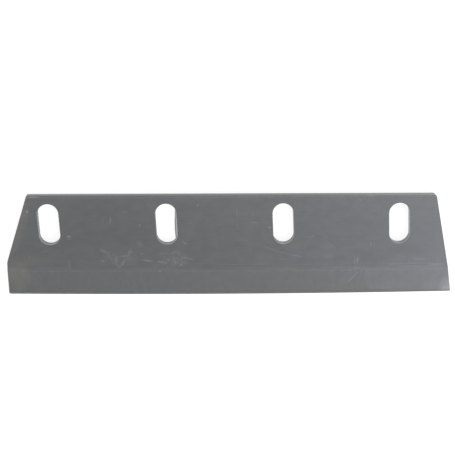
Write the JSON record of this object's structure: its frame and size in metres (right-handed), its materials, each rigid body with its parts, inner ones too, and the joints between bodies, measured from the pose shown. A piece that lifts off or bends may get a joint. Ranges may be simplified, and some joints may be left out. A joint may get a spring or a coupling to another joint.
{
  "type": "silage knife",
  "caption": "Flat steel chopping knife with slanted bolt slots along a straight back, angled ends and a bevel-ground, slightly crowned cutting edge.",
  "frame": {"origin": "middle of the blade's outline, on the plane of its seat face", "axes": "+X along the cutting edge, towards the end that is cut at one slant; +Y across the blade, from the cutting edge to the back; +Z through its thickness, out of the ground face"},
  "size_m": [0.3998, 0.0945, 0.008],
  "materials": {
    "blade_steel": "satin grey steel, dull from rolling and handling, with a finely ground bevel"
  },
  "bodies": {
    "root": {"knife_blade": "blade_steel"}
  },
  "joints": []
}
